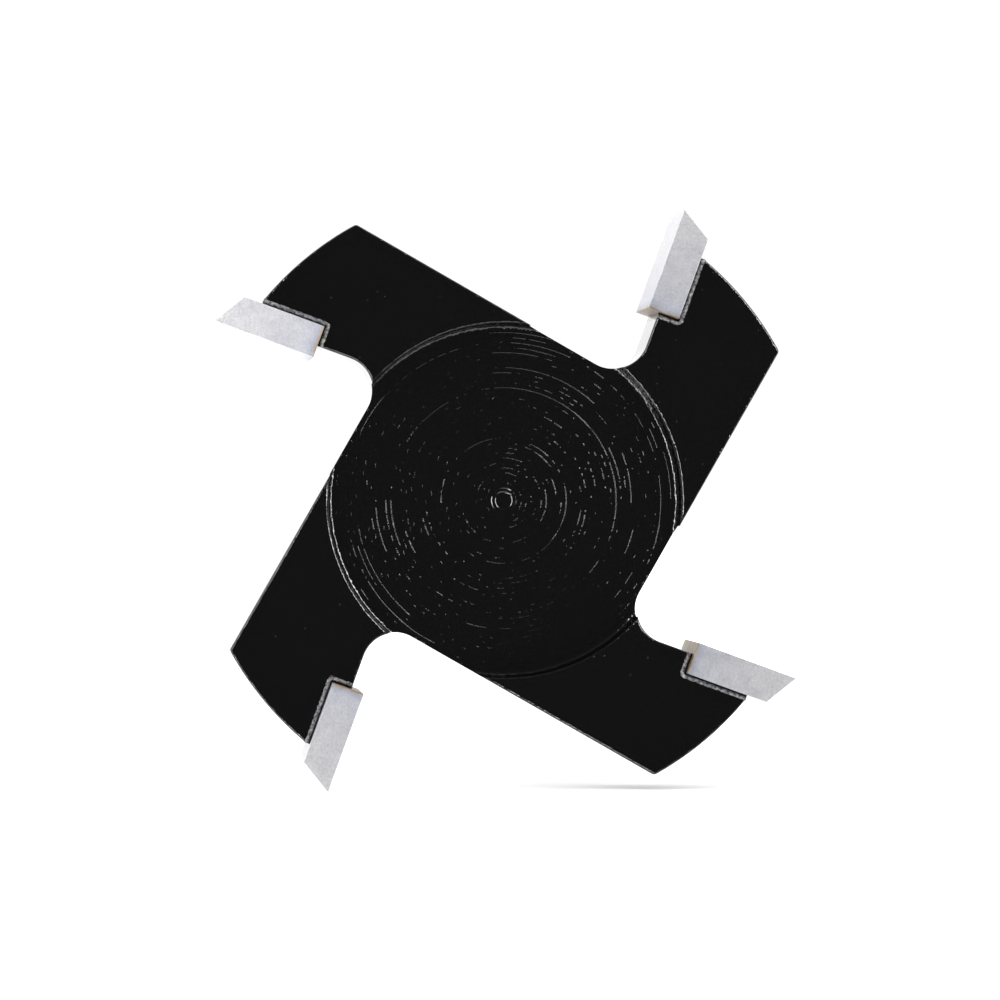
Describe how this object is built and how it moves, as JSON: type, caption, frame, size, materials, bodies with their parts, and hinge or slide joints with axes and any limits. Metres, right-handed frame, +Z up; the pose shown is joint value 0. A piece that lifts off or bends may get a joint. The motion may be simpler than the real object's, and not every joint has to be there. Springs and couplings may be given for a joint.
{
  "type": "angle grinder carving cutter",
  "caption": "Wing-type wood carving cutter: a pinwheel steel head with brazed carbide tips, a turned front relief and a threaded hub for a grinder spindle.",
  "frame": {"origin": "on the spin axis, in the plane of the hub's seating face, where the grinder spindle's shoulder meets the hub", "axes": "+Y along the spin axis, from the cutter towards the grinder, so the cutting face looks to -Y; +Z up with the cutter standing on its rim as in the reference view; seen from the front it turns counter-clockwise"},
  "size_m": [0.0426, 0.0209, 0.0426],
  "materials": {
    "black_enamel": "gloss black enamel over turned and milled steel",
    "carbide": "ground tungsten carbide, satin light grey",
    "tip_braze": "silver braze partly covered by black enamel",
    "machined_steel": "turned and milled steel",
    "silver_braze": "silver braze, matt pale yellow"
  },
  "bodies": {
    "root": {"cutter_body": "black_enamel", "carbide_tip_1": "carbide", "carbide_tip_2": "carbide", "carbide_tip_3": "carbide", "carbide_tip_4": "carbide", "tip_braze_1": "tip_braze", "tip_braze_2": "tip_braze", "tip_braze_3": "tip_braze", "tip_braze_4": "tip_braze", "threaded_hub": "machined_steel", "hub_braze": "silver_braze"}
  },
  "joints": []
}
